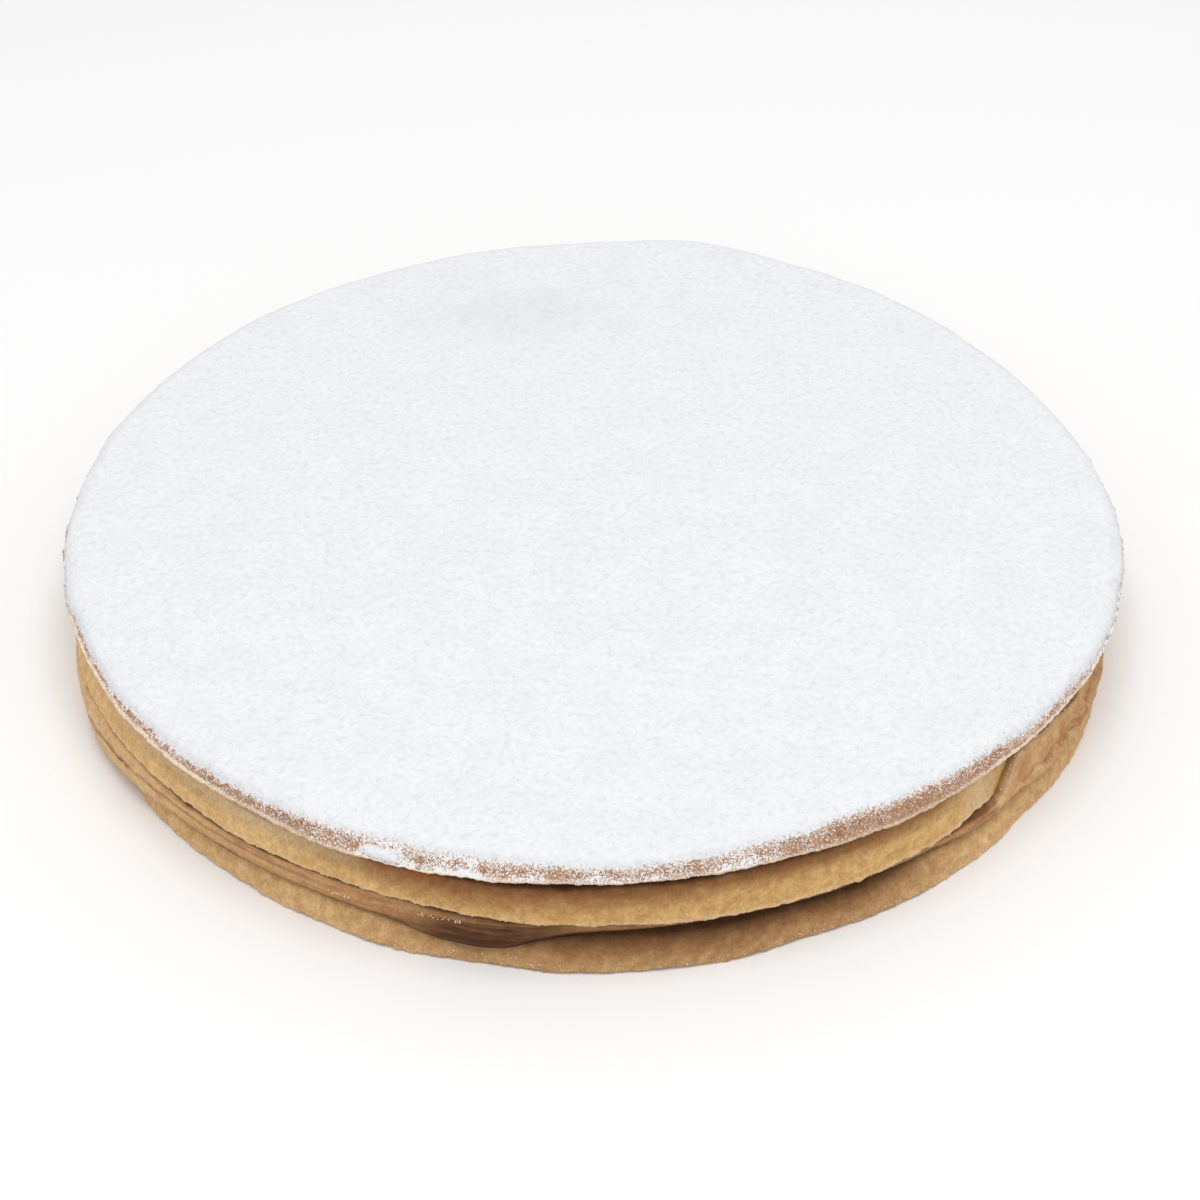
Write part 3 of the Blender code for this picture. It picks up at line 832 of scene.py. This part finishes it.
dulce = {
    "rows": 30,
    # heights at which the rims of the lower and the upper layer are read
    "bellies": (9.6 * mm, 10.4 * mm, 11.2 * mm, 12.0 * mm, 12.8 * mm),
    "upperBellies": (24.4 * mm, 25.0 * mm, 25.6 * mm),
    "upperRows": 12,
    "hang": 0.8 * mm,           # further down over the bottom biscuit at the left
    "smearRise": 1.3 * mm,      # of the smear at the right, up to the lip
    "dripAt": -101.5,           # the sagging drip in front, of darker caramel partly in painted shade
    "dripWide": 7.5,
    "lensTop": 11.7 * mm,       # height of its wet part
    "smearAt": -24.5,
    "smearWide": 20.5,          # half its width
    # amount, from, to and fade in degrees
    "hangs": ((1.6, -158.0, -108.0, 6.0),),
    "smearLift": ((1.0, -38.0, -6.0, 5.0),),
    # the left side, where the filling gets painted light, strongest at the far end
    "atLeft": ((1.0, -190.0, -118.0, 6.0),),
    "farLeft": ((1.0, -190.0, -138.0, 8.0),),
    "rough": ((1.0, -152.0, -139.0, 2.0),),
    # painted shade in the recess in front, under the middle biscuit's foot, and on the upper layer under
    # the top biscuit's lip
    "recess": ((0.6, -97.0, -60.0, 4.0), (0.35, -97.0, -46.0, 3.0)),
    "upperDark": ((0.5, -112.0, -62.0, 12.0),),
    "upperRight": ((1.0, -46.0, -4.0, 4.0),),
    # amount, direction and spread
    "hangSpots": ((1.0, -142.0, 5.0), (1.4, -107.0, 3.0)),
    "smearEdge": ((1.0, -44.5, 2.0),),
    "palePatch": ((0.5, -44.5, 1.6),),
    "look": {
        "lit": (0.61, 0.335, 0.15, 1), "deep": (0.47, 0.235, 0.095, 1),
        # The tan colour on the next line is painted light on the left side.
        "paintedLightLeft": (0.71, 0.44, 0.215, 1), "smeared": (0.64, 0.36, 0.165, 1),
        # The palest colour on the next line is the smear's own pale patches and painted light at the far
        # left.
        "toasted": (0.53, 0.22, 0.085, 1), "pale": (0.80, 0.55, 0.29, 1),
        # On the next line, the first colour is painted shade in the seams and creases, along with the
        # filling's own darker streaks; the second is painted shade in the recess and along the drip, and
        # on the drip also its darker caramel.
        "paintedSeamShadeAndStreaks": (0.20, 0.085, 0.035, 1), "dark": (0.042, 0.016, 0.007, 1),
        "wet": (0.068, 0.022, 0.009, 1),
        "blotchScale": 260.0, "grainScale": 1100.0,
        "grainShow": 0.22, "roughness": 0.65, "wetter": 0.2, "bump": 0.3,
    },
}


def dulceMaterial():
    look = dulce["look"]
    material, tree, shader, place = newMaterial("dulceDeLeche")
    crumb = useGroup(tree, crumbEffect, {"Place": place, "Blotch Scale": look["blotchScale"],
                                         "Grain Scale": look["grainScale"]})
    colour = mixed(tree, crumb["Blotches"], look["deep"], look["lit"])
    # masks mix in painted light, the smear, toasting, pale patches, painted shade and the wet drip
    for mask in ("paintedLightLeft", "smeared", "toasted", "pale", "paintedSeamShadeAndStreaks", "dark", "wet"):
        colour = mixed(tree, maskOf(tree, mask), colour, look[mask])
    colour = grained(tree, colour, crumb["Grain"], look["grainShow"])
    join(tree, shader.inputs["Base Color"], colour)
    shine = sums(tree, "MULTIPLY", maskOf(tree, "wet"), -look["wetter"])
    join(tree, shader.inputs["Roughness"], sums(tree, "ADD", shine, look["roughness"]))
    shader.inputs["Specular IOR Level"].default_value = 0.1
    join(tree, shader.inputs["Normal"], bumpOf(tree, crumb["Height"], look["bump"], 0.2 * mm))
    return material


def fillingRows():  # as biscuitRows, for the lower layer, which bulges and sags
    tree = treeOf("lower_filling")
    belly = radiusAt(tree, *dulce["bellies"])
    fromBelow, fromAbove = (0.5, 1.0), (0.4, 0.9, 1.4, 1.9, 2.4, 3.0)     # mm inside its rim
    bottom = np.min([heightAt(tree, belly - inset * mm, above=False) for inset in fromBelow], axis=0)
    top = np.max([heightAt(tree, belly - inset * mm, above=True) for inset in fromAbove], axis=0)
    foot = heightAt(tree, belly - 7.0 * mm, above=True)
    bed = heightAt(tree, belly - 9.0 * mm, above=False)
    shares = np.linspace(0.0, 1.0, dulce["rows"])
    levels = [top - 0.1 * mm + (bottom + 0.2 * mm - top) * share for share in shares]
    sides = [radiusAt(tree, level) for level in levels]
    radii = [belly - 14.0 * mm, belly - 7.0 * mm, sides[0] - 1.3 * mm, sides[0] - 0.7 * mm] + sides
    heights = [foot, foot, np.minimum(foot, top), top] + levels
    radii += [sides[-1] - 0.5 * mm, sides[-1] - 2.0 * mm, belly - 9.0 * mm]
    heights += [bottom + 0.05 * mm, bottom + 0.1 * mm, bed]
    down = np.concatenate([np.zeros(4), shares, np.full(3, beneath)])
    return everyColumn(radii), everyColumn(heights), down


def makeLowerFilling(material):
    radii, heights, down = fillingRows()
    hang = stretches(dulce["hangs"]) + spots(dulce["hangSpots"])
    heights -= dulce["hang"] * hang * ramp(down, 0.3, 1.0)
    heights += dulce["smearRise"] * stretches(dulce["smearLift"]) * ramp(down, 0.5, 0.0)
    points = placed(radii, heights)
    normals = facing(points)
    wander = 1.6 * crumbly(points, 2.5 * mm, 119)
    smeared = ramp(dulce["smearWide"] - np.abs(apart(dulce["smearAt"]) + wander), -1.5, 1.5)
    smearFoot = ramp(down + 0.1 * crumbly(points, 2.0 * mm, 123), 0.70, 0.85)
    atLeft, rough = stretches(dulce["atLeft"]), stretches(dulce["rough"])
    dripped = np.exp(-(apart(dulce["dripAt"]) / dulce["dripWide"]) ** 4)
    depth = 0.10 * mm * crumbly(points, 2.2 * mm, 101) + 0.10 * mm * lumps(points, 6.0 * mm, 103)
    depth += (rough + 0.8 * atLeft + 0.8 * smeared) * 0.24 * mm * crumbly(points, 1.7 * mm, 107)
    depth += smeared * 0.30 * mm * lumps(points, 4.0 * mm, 109)
    depth += 0.5 * mm * spots(dulce["smearEdge"]) * ramp(down, 0.9, 0.5)
    depth *= (1.0 - 0.7 * dripped) * (down < beneath)
    points = points + normals * depth[..., None]
    masks = fillingMasks(points, down, smeared, smearFoot, dripped)
    settle(wrapped("lowerFilling", points, masks, material), "lower_filling")
    return points


def fillingMasks(points, down, smeared, smearFoot, dripped):  # where each of its colours shows
    height = points[..., 2]
    patches = crumbly(points, 3.0 * mm, 111)
    drawnOut = np.broadcast_to(turns[:, None] * 18.0 * mm, height.shape)     # lumps become streaks
    streaks = crumbly(np.stack([drawnOut, height, np.zeros_like(height)], axis=-1), 0.9 * mm, 117)
    blotches = crumbly(points, 2.4 * mm, 113)
    speckle = crumbly(points, 1.2 * mm, 125)
    atLeft, farLeft, rough = (stretches(dulce[place]) for place in ("atLeft", "farLeft", "rough"))
    # painted shade in the seams along the top and the foot of the filling and on its underside, less at
    # the far left
    paintedSeamShade = np.exp(-(down / 0.14) ** 2) + np.exp(-((down - 1.0) / 0.16) ** 2) + (down == beneath)
    paintedSeamShade = 0.8 * np.clip(paintedSeamShade, 0.0, 1.0) * (1.0 - 0.85 * farLeft)
    midLine = np.exp(-((down - 0.5 - 0.06 * streaks) / 0.07) ** 2)
    # painted shade in the crease at the foot of the smear
    paintedCreaseShade = ramp(smearFoot, 0.0, 0.3) * ramp(smearFoot, 0.9, 0.3)
    lensTop = dulce["lensTop"] - 1.3 * mm * ramp(apart(dulce["dripAt"] - 2.5), 0.0, -6.0)
    # painted shade along the top of the drip's wet part and near the foot of the layer
    outline = np.exp(-((height - lensTop) / (0.3 * mm)) ** 2) + ramp(down, 0.80, 0.98)
    specks = 0.75 * rough * ramp(speckle, 0.1, 0.5) * ramp(down, 0.8, 0.4)
    smearPale = 0.55 * ramp(patches, 0.0, 0.5) + 0.4 * ramp(down, 0.35, 0.1)
    smearPale = smearPale + spots(dulce["palePatch"]) + 0.35 * smearFoot
    return {
        # painted light on the left side, where light falls
        "paintedLightLeft": atLeft * (0.65 + 0.35 * farLeft) * (0.8 + 0.3 * patches),
        "smeared": smeared + 0.9 * rough * ramp(patches, -0.2, 0.4) * ramp(down, 0.75, 0.3),
        "toasted": (smeared * 0.6 * (1.0 - smearFoot) + 0.3 * rough) * ramp(blotches, 0.0, 0.5)
                   * ramp(down, 0.1, 0.35) + specks,
        # the smear's own pale patches, plus painted light at the far left
        "pale": smeared * smearPale + farLeft * (0.62 + 0.3 * patches),
        # painted shade in the seams and creases, with the filling's own darker streaks
        "paintedSeamShadeAndStreaks": (paintedSeamShade + 0.38 * ramp(streaks, 0.1, 0.7)) * (1.0 - 0.6 * smeared)
                 + 0.4 * smeared * paintedCreaseShade + 0.55 * atLeft * midLine,
        # painted shade in the recess in front, and on the drip its darker caramel with painted shade
        # along its outline
        "dark": stretches(dulce["recess"]) * (0.36 + 0.50 * ramp(down, 0.60, 0.95))
                + dripped * (0.42 + 0.5 * outline + 0.2 * streaks),
        "wet": dripped * ramp(height, lensTop, lensTop - 0.5 * mm)
               * (0.85 - 0.6 * outline + 0.25 * streaks),
    }


def makeUpperFilling(material):
    tree = treeOf("upper_filling")
    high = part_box("upper_filling")[1].z
    belly = radiusAt(tree, *dulce["upperBellies"])
    bottom = heightAt(tree, belly - 0.6 * mm, above=False)
    shares = np.linspace(0.0, 1.0, dulce["upperRows"])
    levels = [high - 0.1 * mm + (bottom + 0.2 * mm - high) * share for share in shares]
    sides = [radiusAt(tree, level) for level in levels]
    inner = belly - 10.0 * mm
    radii = [belly - 12.0 * mm, sides[0] - 0.8 * mm] + sides + [sides[-1] - 0.8 * mm, inner]
    heights = [high, high] + levels + [bottom + 0.05 * mm, heightAt(tree, inner, above=False)]
    points = placed(everyColumn(radii), everyColumn(heights))
    down = np.concatenate([np.zeros(2), shares, np.full(2, beneath)])
    depth = 0.12 * mm * crumbly(points, 2.0 * mm, 121) * ramp(down, 0.0, 0.15) * (down < beneath)
    points = points + facing(points) * depth[..., None]
    atRight = stretches(dulce["upperRight"])
    # painted shade on the upper layer under the top biscuit's lip, strongest in front and little on the
    # right, where it takes the smear's colour
    masks = {"dark": (0.35 + stretches(dulce["upperDark"])) * (1.0 - 0.8 * atRight),
             "smeared": 0.8 * atRight}
    settle(wrapped("upperFilling", points, masks, material), "upper_filling")


filling = dulceMaterial()
fillingPoints = makeLowerFilling(filling)
makeUpperFilling(filling)


# Loose biscuit crumbs along the thin edges and on the filling

crumbs = {
    "edgeSize": (0.12 * mm, 0.30 * mm),
    "alongEdges": 2200,
    "rowSpread": 2.5,           # how many rows up from the foot they stray
    "colour": (0.84, 0.64, 0.40, 1),
    # directions from and to, heights from and to, sizes from and to, how many
    "patches": (
        (-107.8, -103.2, 11.3 * mm, 12.2 * mm, 0.16 * mm, 0.36 * mm, 34),
        (-117.6, -114.6, 10.2 * mm, 11.0 * mm, 0.22 * mm, 0.45 * mm, 11),
        (-44.8, -40.0, 18.8 * mm, 21.2 * mm, 0.2 * mm, 0.45 * mm, 9),
        (-42.0, -26.0, 22.0 * mm, 23.5 * mm, 0.2 * mm, 0.4 * mm, 26),
    ),
}


def placesNear(points, directions, heights):  # on the outside of a layer, at each direction and height
    column = np.round((directions % 360.0) / 360.0 * sweep["columns"]).astype(int) % sweep["columns"]
    outside = points[column]
    off = np.abs(outside[..., 2] - heights[:, None])
    off -= np.hypot(outside[..., 0], outside[..., 1]) * 0.5     # the outer side wins
    return outside[np.arange(len(column)), np.argmin(off, axis=1)]


def makeCrumbs():
    draws = np.random.default_rng(15)
    half = crumbs["alongEdges"] // 2
    feet = ((middlePoints, middleBiscuit["rows"] + 1.5), (bottomPoints, bottomBiscuit["rows"] - 0.5))
    places = []
    for points, foot in feet:
        columns = draws.uniform(0.0, sweep["columns"] - 0.001, half)
        rows = foot - np.abs(draws.normal(0.0, crumbs["rowSpread"], half))
        places.append(onSurface(points, columns, rows))
    sizes = [draws.uniform(*crumbs["edgeSize"], half * 2)]
    for start, end, low, high, smallest, largest, count in crumbs["patches"]:
        directions = draws.uniform(start, end, count)
        heights = draws.uniform(low, high, count)
        places.append(placesNear(fillingPoints, directions, heights))
        sizes.append(draws.uniform(smallest, largest, count))
    places = np.concatenate(places)
    sizes = np.concatenate(sizes)
    places[:, 2] = np.maximum(places[:, 2], sizes * 1.3)    # none goes through the floor
    return looseBits("looseCrumbs", places, sizes, 16, plainMaterial("looseCrumbs", crumbs["colour"]))


settle(makeCrumbs(), None)


# Floor, lights and camera

studio = {
    "floorSize": 12.0,
    "floorColour": (0.93, 0.93, 0.93, 1),
    "world": 0.62,
    "lampPower": 12.5,
    "lampSize": 1.0,
    "lampPlace": (0.05, -0.35, 1.45),
    "cameraPlace": (-1.2 * mm, -496.9 * mm, 396.2 * mm),
    "cameraTurn": (0.355, 38.568, -0.851),     # towards +X, down, and tilt, in degrees
    "lens": 75.0,
}


def makeFloor():
    bpy.ops.mesh.primitive_plane_add(size=studio["floorSize"], location=(0.0, 0.0, 0.0))
    floor = bpy.context.object
    floor.name = "floor"
    material, tree, shader, place = newMaterial("floor")
    shader.inputs["Base Color"].default_value = studio["floorColour"]
    shader.inputs["Roughness"].default_value = 1.0
    shader.inputs["Specular IOR Level"].default_value = 0.0
    floor.data.materials.append(material)
    print("made the floor")


def makeLights():
    world = bpy.data.worlds.new("studio")
    world.use_nodes = True
    background = world.node_tree.nodes["Background"]
    background.inputs["Color"].default_value = (1.0, 1.0, 1.0, 1.0)
    background.inputs["Strength"].default_value = studio["world"]
    bpy.context.scene.world = world
    lamp = bpy.data.lights.new("softbox", "AREA")
    lamp.energy = studio["lampPower"]
    lamp.size = studio["lampSize"]
    holder = bpy.data.objects.new("softbox", lamp)
    holder.location = studio["lampPlace"]
    holder.rotation_euler = (-Vector(studio["lampPlace"])).to_track_quat("-Z", "Y").to_euler()
    bpy.context.scene.collection.objects.link(holder)
    print("lit by the world and one softbox")


def makeCamera():
    yaw, pitch, roll = [math.radians(value) for value in studio["cameraTurn"]]
    ahead = Vector((math.sin(yaw), math.cos(yaw), 0.0)) * math.cos(pitch)
    ahead.z = -math.sin(pitch)
    right = Vector((math.cos(yaw), -math.sin(yaw), 0.0))
    above = right.cross(ahead)
    across = right * math.cos(roll) + above * math.sin(roll)
    upright = above * math.cos(roll) - right * math.sin(roll)
    camera = bpy.data.cameras.new("camera")
    camera.lens = studio["lens"]
    holder = bpy.data.objects.new("camera", camera)
    turned = Matrix((across, upright, -ahead)).transposed().to_4x4()
    holder.matrix_world = Matrix.Translation(studio["cameraPlace"]) @ turned
    bpy.context.scene.collection.objects.link(holder)
    bpy.context.scene.camera = holder
    print("set the camera")


makeFloor()
makeLights()
makeCamera()
bpy.context.scene.view_settings.view_transform = "Standard"
